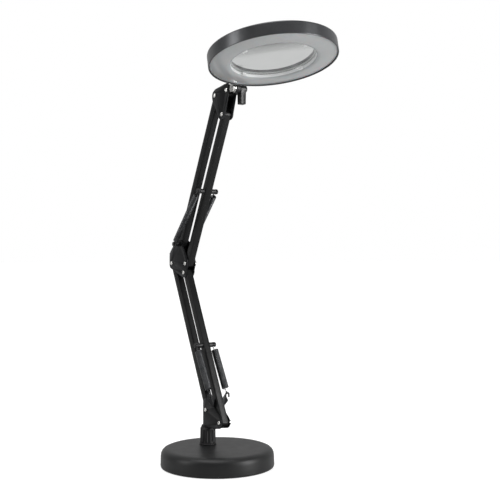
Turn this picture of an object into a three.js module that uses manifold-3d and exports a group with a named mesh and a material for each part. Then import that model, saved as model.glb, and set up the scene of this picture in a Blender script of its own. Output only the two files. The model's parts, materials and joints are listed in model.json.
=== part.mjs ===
// Desk magnifying lamp: a weighted round base, two parallelogram arms with balance springs,
// and a tilting ring head that holds a magnifying lens and a ring of LEDs behind a diffuser.
// Millimetres. Origin on the table under the middle of the base, +X the way the arms reach,
// +Z up. The arms lie in the plane y = 0 and every arm pivot runs along Y.
import * as THREE from 'three';
import { mergeVertices } from 'three/addons/utils/BufferGeometryUtils.js';
import Module from 'manifold-3d';

const wasm = await Module();
wasm.setup();

// ---------- driving dimensions ----------
const GAP = 0.3; // between pieces that touch
const SIDES = 48; // facets round the base and the ring
const SHEET = 1; // bracket steel

const BASE_RADIUS = 75;
const BASE_HEIGHT = 24.5;
const BASE_FILLET = 10;
const BASE_WALL = 2;
const BASE_DRAFT = 1; // how much the side leans in over its height
const PAD_THICKNESS = 1.2;
const PAD_RADIUS = 70;
const PLATE_THICKNESS = 1.5;
const WEIGHT_RADIUS = 69;
const WEIGHT_CHAMFER = 7; // keeps the weight's top edge clear of the shell's fillet
const SWIVEL_X = -24;
const SWIVEL_PIN_RADIUS = 4.5;
const SOCKET_RADIUS = 7.5;
const COLLAR_TOP = 48;
const COLLAR_RADIUS = 10.6;

const ARM_LENGTH = 216; // pivot to pivot, both arms
const LOWER_LEAN = 25.3; // degrees, backwards
const UPPER_LEAN = 25.7; // degrees, forwards
const TUBE = 10; // square tube of the arms
const TUBE_WALL = 1;
const PLATE_OUTER = 6.5; // the bracket plates' outer faces are at y = -6.5 and +6.5
const PLATE_INNER = PLATE_OUTER - SHEET;
const PIVOT_RADIUS = 2.2;
const CROSSBAR_RADIUS = 3.3;
const CROSSBAR_HALF = 16.5;
const CROSSBAR_AT = 0.5; // along the front tube

const LOWER_SPRING_Y = 13;
const UPPER_SPRING_Y = 13.9;
const SPRING_WIRE = 0.5;
const SPRING_HOOK = 8; // length of a spring's hook at the crossbar
const LOWER_COIL = 55;
const LOWER_COIL_RADIUS = 4.8;
const UPPER_COIL = 81;
const UPPER_COIL_RADIUS = 4;

const RING_RADIUS = 79.6;
const RING_HEIGHT = 16;
const RING_TILT = 11.93; // degrees, front edge up
const RING_WALL = 1.3;
const OPENING_RADIUS = 52.3;
const LENS_RADIUS = 53.9;
const LENS_EDGE = 3;
const LENS_SAG = 4.4;
const LENS_Z = 5.6; // underside of the lens edge above the rim
const LED_COUNT = 30;

// ---------- pivots, as [x, z] ----------
const radians = (degrees) => (degrees * Math.PI) / 180;
const along = ([x, z], lean, length) => [
  x + length * Math.sin(radians(lean)),
  z + length * Math.cos(radians(lean)),
];
const offset = ([x, z], dx, dz) => [x + dx, z + dz];

const LOWER_REAR_FOOT = [-18.9, 71.6];
const LOWER_FRONT_FOOT = [14.7, 58.9];
const LOWER_REAR_TOP = along(LOWER_REAR_FOOT, -LOWER_LEAN, ARM_LENGTH);
const LOWER_FRONT_TOP = along(LOWER_FRONT_FOOT, -LOWER_LEAN, ARM_LENGTH);
const UPPER_FRONT_FOOT = offset(LOWER_FRONT_TOP, 4.3, 12.5);
const UPPER_REAR_FOOT = offset(UPPER_FRONT_FOOT, -17.3, 27.1);
const UPPER_FRONT_TOP = along(UPPER_FRONT_FOOT, UPPER_LEAN, ARM_LENGTH);
const UPPER_REAR_TOP = along(UPPER_REAR_FOOT, UPPER_LEAN, ARM_LENGTH);
const RIVET = offset(UPPER_FRONT_TOP, 10.7, 29.9);
const HEAD_PIVOT = offset(RIVET, 10.2, 1.6);
const RING_CENTRE = offset(HEAD_PIVOT, 84.8, 18.9);

const LOWER_HOOK = [2.4, 94.4]; // where the lower springs hang on the bracket's ears
const LOWER_HOOK_Y = 13.8;
const LOWER_CROSSBAR = along(LOWER_FRONT_FOOT, -LOWER_LEAN, ARM_LENGTH * CROSSBAR_AT);
const UPPER_CROSSBAR = along(UPPER_FRONT_FOOT, UPPER_LEAN, ARM_LENGTH * CROSSBAR_AT);

// ---------- materials ----------
const material = (color, roughness, metalness) =>
  new THREE.MeshStandardMaterial({ color, roughness, metalness });

const blackPaint = material(0x1c1d1e, 0.45, 0.1);
const baseFinish = material(0x2b2c2d, 0.5, 0.0);
const blackPlastic = material(0x161718, 0.5, 0.0);
const ringFinish = material(0x3b3c3e, 0.38, 0.2);
const nickel = material(0xc9cacb, 0.25, 1.0);
const darkSteel = material(0x4d4e50, 0.4, 0.9);
const castIron = material(0x3c3a38, 0.8, 0.5);
const foam = material(0x202020, 0.95, 0.0);
const frosted = material(0xc9cbcc, 0.6, 0.0);
const glass = material(0xe8f0f0, 0.05, 0.0);
const boardWhite = material(0xe6e7e4, 0.7, 0.0);

// ---------- solids and booleans ----------
function solid(geometry) {
  const plain = geometry.clone();
  plain.deleteAttribute('normal');
  plain.deleteAttribute('uv');
  const merged = mergeVertices(plain, 1e-4);
  const corners = Array.from(merged.index.array);
  const triangles = [];
  for (let i = 0; i < corners.length; i += 3) {
    const triangle = corners.slice(i, i + 3);
    if (new Set(triangle).size === 3) triangles.push(...triangle);
  }
  const mesh = new wasm.Mesh({
    numProp: 3,
    vertProperties: new Float32Array(merged.attributes.position.array),
    triVerts: new Uint32Array(triangles),
  });
  return new wasm.Manifold(mesh);
}

function geometryOf(manifold) {
  const mesh = manifold.getMesh();
  const geometry = new THREE.BufferGeometry();
  geometry.setAttribute('position', new THREE.BufferAttribute(mesh.vertProperties, 3));
  geometry.setIndex(new THREE.BufferAttribute(mesh.triVerts, 1));
  geometry.computeVertexNormals();
  return geometry;
}

const join = (...shapes) => geometryOf(shapes.map(solid).reduce((sum, next) => sum.add(next)));

function cut(body, ...tools) {
  return geometryOf(tools.map(solid).reduce((rest, tool) => rest.subtract(tool), solid(body)));
}

// ---------- simple shapes ----------
// A round bar along Y.
function barY([x, z], radius, yLow, yHigh, sides = 12) {
  const bar = new THREE.CylinderGeometry(radius, radius, yHigh - yLow, sides);
  return bar.translate(x, (yLow + yHigh) / 2, z);
}

// A round bar along Z.
function barZ(x, y, radius, zLow, zHigh, sides = 24) {
  const bar = new THREE.CylinderGeometry(radius, radius, zHigh - zLow, sides);
  return bar.rotateX(Math.PI / 2).translate(x, y, (zLow + zHigh) / 2);
}

function block(xLow, xHigh, yLow, yHigh, zLow, zHigh) {
  const box = new THREE.BoxGeometry(xHigh - xLow, yHigh - yLow, zHigh - zLow);
  return box.translate((xLow + xHigh) / 2, (yLow + yHigh) / 2, (zLow + zHigh) / 2);
}

// A body of revolution about Y from [radius, y] points that close on themselves or meet the axis.
function lathe(points, sides) {
  const profile = points.map(([radius, height]) => new THREE.Vector2(radius, height));
  if (THREE.ShapeUtils.isClockWise(profile)) profile.reverse();
  return new THREE.LatheGeometry(profile, sides);
}

// The profile's height runs along Z, about the line through x and y.
const turned = (points, sides, x = 0, y = 0) =>
  lathe(points, sides).rotateX(Math.PI / 2).translate(x, y, 0);

// The profile's height runs along Y, about the pivot at x and z.
const turnedY = ([x, z], points, sides) => lathe(points, sides).translate(x, 0, z);

// Points of an arc in the profile plane.
function arc(centreR, centreZ, radius, fromDegrees, toDegrees, steps) {
  return Array.from({ length: steps + 1 }, (_, i) => {
    const angle = radians(fromDegrees + ((toDegrees - fromDegrees) * i) / steps);
    return [centreR + radius * Math.cos(angle), centreZ + radius * Math.sin(angle)];
  });
}

// A flat outline in the x-z plane with rounded corners, each corner [x, z, radius].
function outline(corners) {
  const shape = new THREE.Shape();
  corners.forEach(([x, z, radius], i) => {
    const corner = new THREE.Vector2(x, z);
    const before = new THREE.Vector2(...corners.at(i - 1));
    const after = new THREE.Vector2(...corners[(i + 1) % corners.length]);
    const start = corner.clone().add(before.sub(corner).setLength(radius));
    const end = corner.clone().add(after.sub(corner).setLength(radius));
    if (i === 0) shape.moveTo(start.x, start.y);
    else shape.lineTo(start.x, start.y);
    shape.quadraticCurveTo(corner.x, corner.y, end.x, end.y);
  });
  shape.closePath();
  return shape;
}

// An x-z outline made solid between two y values, with round holes at pivots.
function sheetY(shape, yLow, yHigh, holes = [], curveSegments = 5) {
  for (const [[x, z], radius] of holes) {
    const hole = new THREE.Path();
    hole.absarc(x, z, radius, 0, 2 * Math.PI, true);
    shape.holes.push(hole);
  }
  const options = { depth: yHigh - yLow, bevelEnabled: false, curveSegments };
  return new THREE.ExtrudeGeometry(shape, options).rotateX(Math.PI / 2).translate(0, yHigh, 0);
}

// A y-z outline made solid between two x values.
function sheetX(shape, xLow, xHigh, curveSegments = 8) {
  const options = { depth: xHigh - xLow, bevelEnabled: false, curveSegments };
  const sheet = new THREE.ExtrudeGeometry(shape, options);
  return sheet.rotateX(Math.PI / 2).rotateZ(Math.PI / 2).translate(xLow, 0, 0);
}

// An outline's mirror image, left to right.
function mirrored(shape, curveSegments = 8) {
  const points = shape.getPoints(curveSegments);
  if (points[0].equals(points.at(-1))) points.pop();
  return new THREE.Shape(points.map(({ x, y }) => new THREE.Vector2(-x, y)));
}

// ---------- the assembly ----------
const lamp = new THREE.Group();

function add(name, geometry, finish, parent = lamp) {
  const mesh = new THREE.Mesh(geometry, finish);
  mesh.name = name;
  parent.add(mesh);
  return mesh;
}

// ---------- base ----------
const SHELL_BOTTOM = 0.8;
const PLATE_BOTTOM = PAD_THICKNESS + GAP;
const WEIGHT_BOTTOM = PLATE_BOTTOM + PLATE_THICKNESS + GAP;
const WEIGHT_TOP = BASE_HEIGHT - BASE_WALL - GAP;
const PLATE_SCREW_RADIUS = 1.6;
const PLATE_SCREW_CIRCLE = 55;
const PLATE_SCREWS = 3;
const PLATE_SCREW_TOP = 12;

function baseShell() {
  const top = BASE_RADIUS - BASE_DRAFT;
  const centre = [top - BASE_FILLET, BASE_HEIGHT - BASE_FILLET];
  const inner = BASE_FILLET - BASE_WALL;
  const foot = 2;
  const shell = turned([
    [0, BASE_HEIGHT - BASE_WALL],
    ...arc(...centre, inner, 90, 0, 2),
    [BASE_RADIUS - BASE_WALL, SHELL_BOTTOM + foot],
    [BASE_RADIUS - BASE_WALL, SHELL_BOTTOM],
    ...arc(BASE_RADIUS - foot, SHELL_BOTTOM + foot, foot, -80, 0, 2),
    ...arc(...centre, BASE_FILLET, 0, 90, 4),
    [0, BASE_HEIGHT],
  ], SIDES);
  return cut(shell, barZ(SWIVEL_X, 0, SWIVEL_PIN_RADIUS + GAP, WEIGHT_BOTTOM, COLLAR_TOP));
}

function plateScrewPlaces() {
  return Array.from({ length: PLATE_SCREWS }, (_, i) => {
    const angle = radians(60 + (360 * i) / PLATE_SCREWS);
    return [PLATE_SCREW_CIRCLE * Math.cos(angle), PLATE_SCREW_CIRCLE * Math.sin(angle)];
  });
}

function plateScrewHoles() {
  const top = PLATE_SCREW_TOP + 2;
  return plateScrewPlaces().map(([x, y]) => barZ(x, y, PLATE_SCREW_RADIUS + GAP, 0, top, 12));
}

function baseWeight() {
  const disc = turned([
    [0, WEIGHT_BOTTOM],
    [WEIGHT_RADIUS, WEIGHT_BOTTOM],
    [WEIGHT_RADIUS, BASE_HEIGHT - BASE_FILLET],
    [WEIGHT_RADIUS - WEIGHT_CHAMFER, WEIGHT_TOP],
    [0, WEIGHT_TOP],
  ], SIDES);
  const socket = barZ(SWIVEL_X, 0, SOCKET_RADIUS + GAP, 0, COLLAR_TOP);
  const taps = plateScrewHoles();
  return cut(disc, socket, ...taps);
}

function basePlate() {
  const radius = BASE_RADIUS - BASE_WALL - 1;
  const plate = barZ(0, 0, radius, PLATE_BOTTOM, PLATE_BOTTOM + PLATE_THICKNESS, SIDES);
  return cut(plate, ...plateScrewHoles());
}

// Flat-headed screws; the head lies in a recess of the foam pad below the plate.
const SCREW_HEAD_RADIUS = 3.2;
const SCREW_HEAD_HEIGHT = 0.7;

function plateScrew(x, y) {
  const headTop = PLATE_BOTTOM - 0.1;
  return join(
    barZ(x, y, SCREW_HEAD_RADIUS, headTop - SCREW_HEAD_HEIGHT, headTop, 12),
    barZ(x, y, PLATE_SCREW_RADIUS, headTop - 0.2, PLATE_SCREW_TOP, 12),
  );
}

function basePad() {
  const pad = barZ(0, 0, PAD_RADIUS, 0, PAD_THICKNESS, SIDES);
  const skin = 0.4; // foam left under the screw heads
  const recesses = plateScrewPlaces().map(([x, y]) =>
    barZ(x, y, SCREW_HEAD_RADIUS + GAP, skin, PAD_THICKNESS + 1, 12));
  return cut(pad, ...recesses);
}

add('base_shell', baseShell(), baseFinish);
add('base_weight', baseWeight(), castIron);
add('base_plate', basePlate(), blackPaint);
add('base_pad', basePad(), foam);
plateScrewPlaces().forEach(([x, y], i) => add(`plate_screw_${i + 1}`, plateScrew(x, y), darkSteel));

// The steel bush in the weight and the fluted collar above it both guide the swivel pin.
const SOCKET_FLOOR = WEIGHT_BOTTOM + 2;
const FLUTES = 12;
const FLUTE_RADIUS = 0.9;
const FLANGE_HEIGHT = 2;
const FLANGE_REACH = 0.8; // how far the flange stands out from the collar

function socketBush() {
  const bush = barZ(SWIVEL_X, 0, SOCKET_RADIUS, WEIGHT_BOTTOM, WEIGHT_TOP);
  return cut(bush, barZ(SWIVEL_X, 0, SWIVEL_PIN_RADIUS + GAP, SOCKET_FLOOR, COLLAR_TOP));
}

function collar() {
  const foot = BASE_HEIGHT + GAP;
  const flangeTop = foot + FLANGE_HEIGHT;
  const sleeve = turned([
    [SWIVEL_PIN_RADIUS + GAP, foot],
    [COLLAR_RADIUS + FLANGE_REACH, foot],
    [COLLAR_RADIUS + FLANGE_REACH, flangeTop - 0.8],
    [COLLAR_RADIUS + 0.2, flangeTop],
    [COLLAR_RADIUS - 0.4, COLLAR_TOP - 1.2],
    [COLLAR_RADIUS - 1.6, COLLAR_TOP],
    [SWIVEL_PIN_RADIUS + GAP, COLLAR_TOP],
    [SWIVEL_PIN_RADIUS + GAP, foot],
  ], 36, SWIVEL_X);
  const grooves = Array.from({ length: FLUTES }, (_, i) => {
    const angle = (2 * Math.PI * i) / FLUTES;
    const x = SWIVEL_X + (COLLAR_RADIUS + 0.3) * Math.cos(angle);
    const y = (COLLAR_RADIUS + 0.3) * Math.sin(angle);
    return barZ(x, y, FLUTE_RADIUS, flangeTop + 1, COLLAR_TOP - 3, 6);
  });
  return cut(sleeve, ...grooves);
}

add('base_socket', socketBush(), darkSteel);
add('collar', collar(), blackPlastic);

// ---------- arm fasteners ----------
const HOLE_RADIUS = PIVOT_RADIUS + GAP;
const HEAD_RADIUS = 2.8;
const HEAD_HEIGHT = 1.3;
const NUT_RADIUS = 4;
const NUT_HEIGHT = 2.8;
const NUT_LOW = PLATE_OUTER + GAP;
const HEAD_LOW = -PLATE_OUTER - GAP;
const SCREW_END = NUT_LOW + NUT_HEIGHT + 0.8;

// A pan-headed pivot screw, its head on the -Y side.
function pivotScrew(pivot) {
  return turnedY(pivot, [
    [0, HEAD_LOW - HEAD_HEIGHT],
    [HEAD_RADIUS * 0.55, HEAD_LOW - HEAD_HEIGHT * 0.93],
    [HEAD_RADIUS * 0.88, HEAD_LOW - HEAD_HEIGHT * 0.6],
    [HEAD_RADIUS, HEAD_LOW],
    [PIVOT_RADIUS, HEAD_LOW],
    [PIVOT_RADIUS, SCREW_END],
    [0, SCREW_END],
  ], 12);
}

function hexNut(pivot, radius, bore, yLow, yHigh) {
  return cut(barY(pivot, radius, yLow, yHigh, 6), barY(pivot, bore, yLow - 1, yHigh + 1, 12));
}

function fasten(name, pivot) {
  add(`${name}_screw`, pivotScrew(pivot), nickel);
  add(`${name}_nut`, hexNut(pivot, NUT_RADIUS, HOLE_RADIUS, NUT_LOW, NUT_LOW + NUT_HEIGHT), nickel);
}

// A round-ended rod along Y with a groove near each end for a spring hook.
function crossRod(centre, springY) {
  const ends = 1.2;
  const groove = springY - 0.2;
  const side = (sign) => [
    [CROSSBAR_RADIUS, sign * (groove - 1.4)],
    [CROSSBAR_RADIUS - 0.7, sign * (groove - 0.8)],
    [CROSSBAR_RADIUS - 0.7, sign * (groove + 0.8)],
    [CROSSBAR_RADIUS, sign * (groove + 1.2)],
    [CROSSBAR_RADIUS, sign * (CROSSBAR_HALF - ends)],
    [CROSSBAR_RADIUS - ends * 0.8, sign * CROSSBAR_HALF],
    [0, sign * CROSSBAR_HALF],
  ];
  return turnedY(centre, [...side(-1).reverse(), ...side(1)], 14);
}

// ---------- arm tubes ----------
// A square tube with rounded, plugged ends, drilled for its pivots. extra lists more holes.
function armTube(foot, top, footHole, extra = []) {
  const length = Math.hypot(top[0] - foot[0], top[1] - foot[1]);
  const lean = Math.atan2(top[0] - foot[0], top[1] - foot[1]);
  const stadium = (half) => {
    const shape = new THREE.Shape();
    shape.absarc(0, length, half, 0, Math.PI, false);
    shape.absarc(0, 0, half, Math.PI, 2 * Math.PI, false);
    return shape;
  };
  const half = TUBE / 2;
  const bore = half - TUBE_WALL;
  const outside = sheetY(stadium(half), -half, half);
  const inside = sheetY(stadium(bore), -bore, bore);
  const holes = [[0, footHole], [length, HOLE_RADIUS], ...extra];
  const drills = holes.map(([at, radius]) => barY([0, at], radius, -TUBE, TUBE));
  const tube = cut(outside, inside, ...drills);
  return tube.rotateY(lean).translate(foot[0], 0, foot[1]);
}

const crossbarHole = [ARM_LENGTH * CROSSBAR_AT, CROSSBAR_RADIUS + GAP];

// ---------- balance springs ----------
// A close-wound coil as its outer cylinder, with a straight stub at each end towards its pins.
function spring(low, high, y, coil, radius) {
  const span = Math.hypot(high[0] - low[0], high[1] - low[1]);
  const lean = Math.atan2(high[0] - low[0], high[1] - low[1]);
  const start = span - SPRING_HOOK - coil;
  const clear = CROSSBAR_RADIUS + GAP;
  const body = barZ(0, 0, radius, start, start + coil, 16);
  const hooks = barZ(0, 0, SPRING_WIRE, clear, span - clear, 8);
  return join(body, hooks).rotateY(lean).translate(low[0], y, low[1]);
}

// ---------- lower bracket ----------
const WASHER_LOW = COLLAR_TOP + GAP;
const WASHER_HIGH = WASHER_LOW + 0.8;
const FLOOR_LOW = WASHER_HIGH + GAP;
const FLOOR_HIGH = FLOOR_LOW + SHEET;
const FLOOR_END_RADIUS = 8.6;
const EAR_X = 1.8; // rear face of the hook ears
const EAR_HOOK_RADIUS = 1.5;

const FLOOR_END = 3; // forward of here the plates' lower edges rise
const lowerPlateOutline = () => outline([
  [-26, FLOOR_LOW, 0.6],
  [FLOOR_END, FLOOR_LOW, 1],
  [16, 51.6, 2.5],
  [20.6, 55, 3],
  [20.6, 63.6, 4],
  [EAR_X + SHEET, 77, 1],
  [EAR_X + SHEET, 87.5, 0.5],
  [-14.5, 88.5, 4],
  [-26, 85.6, 5],
]);

// An ear bent outwards from the front of a side plate. Its tip curls over and down into a hook.
function earOutline() {
  const shape = new THREE.Shape();
  const tip = [LOWER_HOOK_Y, LOWER_HOOK[1] - EAR_HOOK_RADIUS];
  const strip = 2;
  shape.moveTo(PLATE_INNER, 77.5);
  shape.lineTo(9, 78.5);
  shape.lineTo(15.2, 85);
  shape.lineTo(tip[0] - EAR_HOOK_RADIUS, tip[1] - 2.5);
  shape.absarc(...tip, EAR_HOOK_RADIUS, Math.PI, 0, true);
  shape.lineTo(tip[0] + EAR_HOOK_RADIUS, tip[1] - 3.6);
  shape.lineTo(tip[0] + EAR_HOOK_RADIUS + strip, tip[1] - 3.6);
  shape.absarc(...tip, EAR_HOOK_RADIUS + strip, 0, 0.75 * Math.PI, false);
  shape.lineTo(PLATE_INNER, 87.4);
  shape.closePath();
  return shape;
}

function lowerBracket() {
  const pivotHoles = [[LOWER_REAR_FOOT, HOLE_RADIUS], [LOWER_FRONT_FOOT, HOLE_RADIUS]];
  const body = join(
    sheetY(lowerPlateOutline(), -PLATE_OUTER, -PLATE_INNER, pivotHoles),
    sheetY(lowerPlateOutline(), PLATE_INNER, PLATE_OUTER, pivotHoles),
    block(SWIVEL_X, FLOOR_END, -PLATE_OUTER, PLATE_OUTER, FLOOR_LOW, FLOOR_HIGH),
    barZ(SWIVEL_X, 0, FLOOR_END_RADIUS, FLOOR_LOW, FLOOR_HIGH),
    sheetX(earOutline(), EAR_X, EAR_X + SHEET),
    sheetX(mirrored(earOutline()), EAR_X, EAR_X + SHEET),
  );
  return cut(body, barZ(SWIVEL_X, 0, SWIVEL_PIN_RADIUS + GAP, COLLAR_TOP, FLOOR_HIGH + 1));
}

// The pin turns in the base's bush and is riveted over on the bracket's floor.
function swivelPin() {
  const headLow = FLOOR_HIGH + GAP;
  const headRadius = 5.4;
  return turned([
    [0, SOCKET_FLOOR + GAP],
    [SWIVEL_PIN_RADIUS - 0.6, SOCKET_FLOOR + GAP],
    [SWIVEL_PIN_RADIUS, SOCKET_FLOOR + GAP + 0.8],
    [SWIVEL_PIN_RADIUS, headLow],
    [headRadius, headLow],
    [headRadius, headLow + 1],
    [headRadius - 1.4, headLow + 2],
    [0, headLow + 2],
  ], 24, SWIVEL_X);
}

const swivelWasher = () => cut(
  barZ(SWIVEL_X, 0, COLLAR_RADIUS - 2, WASHER_LOW, WASHER_HIGH),
  barZ(SWIVEL_X, 0, SWIVEL_PIN_RADIUS + GAP, COLLAR_TOP, FLOOR_LOW),
);

add('swivel_washer', swivelWasher(), blackPlastic);
add('lower_bracket', lowerBracket(), blackPaint);
add('swivel_pin', swivelPin(), darkSteel);
fasten('lower_rear_foot', LOWER_REAR_FOOT);
fasten('lower_front_foot', LOWER_FRONT_FOOT);

// ---------- lower arm ----------
add('lower_rear_bar', armTube(LOWER_REAR_FOOT, LOWER_REAR_TOP, HOLE_RADIUS), blackPaint);
add('lower_front_bar',
  armTube(LOWER_FRONT_FOOT, LOWER_FRONT_TOP, HOLE_RADIUS, [crossbarHole]), blackPaint);
add('lower_crossbar', crossRod(LOWER_CROSSBAR, LOWER_SPRING_Y), blackPlastic);

// ---------- elbow ----------
const elbowPlateOutline = () => {
  const [rearX, rearZ] = LOWER_REAR_TOP;
  const [pinX, pinZ] = UPPER_REAR_FOOT;
  const [frontX, frontZ] = UPPER_FRONT_FOOT;
  const [footX, footZ] = LOWER_FRONT_TOP;
  return outline([
    [rearX - 6.3, rearZ - 6, 4],
    [footX - 3, footZ - 7, 4],
    [footX + 5, footZ - 6.5, 4],
    [frontX + 6.2, frontZ - 2, 3],
    [frontX + 6.2, frontZ + 5, 2.5],
    [pinX + 6, pinZ + 5.5, 4],
    [pinX - 8, pinZ + 5.5, 4],
    [rearX - 6.3, rearZ + 14, 4],
  ]);
};

// The two plates are joined by a strip along the rear edge, clear of the tubes' ends.
function elbowBracket() {
  const pinHole = CROSSBAR_RADIUS + GAP;
  const holes = [
    [LOWER_REAR_TOP, HOLE_RADIUS],
    [LOWER_FRONT_TOP, HOLE_RADIUS],
    [UPPER_FRONT_FOOT, HOLE_RADIUS],
    [UPPER_REAR_FOOT, pinHole],
  ];
  const low = offset(LOWER_REAR_TOP, -6.3, 8);
  const high = offset(LOWER_REAR_TOP, -6.3, 14);
  const top = offset(UPPER_REAR_FOOT, -9.5, 3);
  const strip = new THREE.Shape([
    new THREE.Vector2(...low),
    new THREE.Vector2(low[0] + SHEET, low[1]),
    new THREE.Vector2(high[0] + SHEET, high[1] - 0.4),
    new THREE.Vector2(top[0] + SHEET, top[1] - 0.8),
    new THREE.Vector2(...top),
    new THREE.Vector2(...high),
  ]);
  return join(
    sheetY(elbowPlateOutline(), -PLATE_OUTER, -PLATE_INNER, holes),
    sheetY(elbowPlateOutline(), PLATE_INNER, PLATE_OUTER, holes),
    sheetY(strip, -PLATE_OUTER + 0.1, PLATE_OUTER - 0.1),
  );
}

add('elbow_bracket', elbowBracket(), blackPaint);
fasten('lower_rear_top', LOWER_REAR_TOP);
fasten('lower_front_top', LOWER_FRONT_TOP);
fasten('upper_front_foot', UPPER_FRONT_FOOT);
add('elbow_cross_pin', crossRod(UPPER_REAR_FOOT, UPPER_SPRING_Y), blackPlastic);

// ---------- upper arm ----------
add('upper_rear_bar',
  armTube(UPPER_REAR_FOOT, UPPER_REAR_TOP, CROSSBAR_RADIUS + GAP), blackPaint);
add('upper_front_bar',
  armTube(UPPER_FRONT_FOOT, UPPER_FRONT_TOP, HOLE_RADIUS, [crossbarHole]), blackPaint);
add('upper_crossbar', crossRod(UPPER_CROSSBAR, UPPER_SPRING_Y), blackPlastic);

for (const [side, hand] of [[-1, 'left'], [1, 'right']]) {
  const lowerY = side * LOWER_SPRING_Y;
  const lower = spring(LOWER_HOOK, LOWER_CROSSBAR, lowerY, LOWER_COIL, LOWER_COIL_RADIUS);
  add(`lower_spring_${hand}`, lower, darkSteel);
  const upperY = side * UPPER_SPRING_Y;
  const upper = spring(UPPER_REAR_FOOT, UPPER_CROSSBAR, upperY, UPPER_COIL, UPPER_COIL_RADIUS);
  add(`upper_spring_${hand}`, upper, darkSteel);
}

// ---------- head bracket ----------
const TILT_STUD_RADIUS = 2.9;
const STUD_HOLE = TILT_STUD_RADIUS + GAP;
const EAR_RADIUS = 5.5; // keeps clear of the ring as it tilts

const headPlateOutline = () => {
  const [rearX, rearZ] = UPPER_REAR_TOP;
  const [frontX, frontZ] = UPPER_FRONT_TOP;
  return outline([
    [rearX - 6.5, rearZ - 5, 4],
    [frontX - 6, frontZ - 6.5, 4],
    [frontX + 5.5, frontZ - 6.5, 5],
    [RIVET[0] + 4, RIVET[1] - 8, 3],
    [RIVET[0] + 4.6, RIVET[1] + 9.4, 2],
    [rearX + 1, rearZ + 8.2, 2],
    [rearX - 6.5, rearZ + 4, 4],
  ]);
};

// The bracket is folded over its top edge. Only the +Y plate reaches forward to the tilt stud.
function headBracket() {
  const holes = [
    [UPPER_REAR_TOP, HOLE_RADIUS],
    [UPPER_FRONT_TOP, HOLE_RADIUS],
    [RIVET, HOLE_RADIUS],
  ];
  const fold = new THREE.Shape([
    new THREE.Vector2(...offset(UPPER_REAR_TOP, 2.5, 6.9)),
    new THREE.Vector2(...offset(RIVET, -3, 7.6)),
    new THREE.Vector2(...offset(RIVET, -3, 8.8)),
    new THREE.Vector2(...offset(UPPER_REAR_TOP, 2.5, 8.1)),
  ]);
  const arm = outline([
    [...offset(RIVET, -8, -10), 1],
    [...offset(HEAD_PIVOT, -0.5, -EAR_RADIUS - 0.6), 4],
    [...offset(HEAD_PIVOT, -0.5, EAR_RADIUS), 3],
    [...offset(RIVET, -4, EAR_RADIUS + 1), 1],
  ]);
  const body = join(
    sheetY(headPlateOutline(), -PLATE_OUTER, -PLATE_INNER, holes),
    sheetY(headPlateOutline(), PLATE_INNER, PLATE_OUTER, holes),
    sheetY(fold, -PLATE_OUTER + 0.1, PLATE_OUTER - 0.1),
    sheetY(arm, PLATE_INNER, PLATE_OUTER, [[RIVET, HOLE_RADIUS]]),
    barY(HEAD_PIVOT, EAR_RADIUS, PLATE_INNER, PLATE_OUTER, 20),
  );
  return cut(body, barY(HEAD_PIVOT, STUD_HOLE, 0, 20));
}

// A rivet that ties the plates' front edges together, with a plastic spacer on it. Its +Y end is
// flush with the plate, so that the wing knob passes over it.
const SPACER_RADIUS = 3.2;

function bracketRivet() {
  return turnedY(RIVET, [
    [0, HEAD_LOW - HEAD_HEIGHT],
    [HEAD_RADIUS * 0.55, HEAD_LOW - HEAD_HEIGHT * 0.93],
    [HEAD_RADIUS * 0.88, HEAD_LOW - HEAD_HEIGHT * 0.6],
    [HEAD_RADIUS, HEAD_LOW],
    [PIVOT_RADIUS, HEAD_LOW],
    [PIVOT_RADIUS, PLATE_OUTER],
    [0, PLATE_OUTER],
  ], 16);
}

function rivetSpacer() {
  const end = PLATE_INNER - GAP;
  return cut(barY(RIVET, SPACER_RADIUS, -end, end, 20), barY(RIVET, HOLE_RADIUS, -20, 20));
}

add('head_bracket', headBracket(), blackPaint);
add('bracket_rivet', bracketRivet(), nickel);
add('rivet_spacer', rivetSpacer(), blackPlastic);
fasten('upper_rear_top', UPPER_REAR_TOP);
fasten('upper_front_top', UPPER_FRONT_TOP);

// ---------- head ----------
// The ring's own frame: origin in the middle of its lower rim, z along its axis.
const head = new THREE.Group();
head.position.set(RING_CENTRE[0], 0, RING_CENTRE[1]);
head.rotation.y = -radians(RING_TILT);
lamp.add(head);

const tilt = radians(RING_TILT);
const toHead = ([x, z]) => {
  const dx = x - RING_CENTRE[0];
  const dz = z - RING_CENTRE[1];
  return [dx * Math.cos(tilt) + dz * Math.sin(tilt), dz * Math.cos(tilt) - dx * Math.sin(tilt)];
};
const PIVOT_IN_HEAD = toHead(HEAD_PIVOT);

const TUBE_RADIUS = LENS_RADIUS + GAP + 0.1; // inside of the housing's lens tube
const TUBE_THICKNESS = 1.8;
const LIP_RADIUS = OPENING_RADIUS - 2;
const LENS_SEAT = 0.7; // the bulging faces rise this much inside the edge's supports
const LIP_LOW = LENS_Z + LENS_EDGE + LENS_SEAT + GAP;
const CABLE_ANGLE = 205;
const CABLE_Z = 7.5;
const CABLE_HOLE = 2.8;
const NECK_SCREW_Z = 8.8;
const NECK_SCREW_Y = 3.4;
const NECK_SCREW_RADIUS = 1.2;
const NECK_MIDDLE = 2.2;
const NECK_SCREW_YS = [NECK_MIDDLE - NECK_SCREW_Y, NECK_MIDDLE + NECK_SCREW_Y];

// A round bar along the ring's own x axis.
function barX(y, z, radius, xLow, xHigh, sides = 12) {
  const bar = new THREE.CylinderGeometry(radius, radius, xHigh - xLow, sides);
  return bar.rotateZ(Math.PI / 2).translate((xLow + xHigh) / 2, y, z);
}

// A round bar that points outwards from the ring's axis at an angle.
function barOut(angle, z, radius, rLow, rHigh, sides = 12) {
  return barX(0, z, radius, rLow, rHigh, sides).rotateZ(radians(angle));
}

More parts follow.
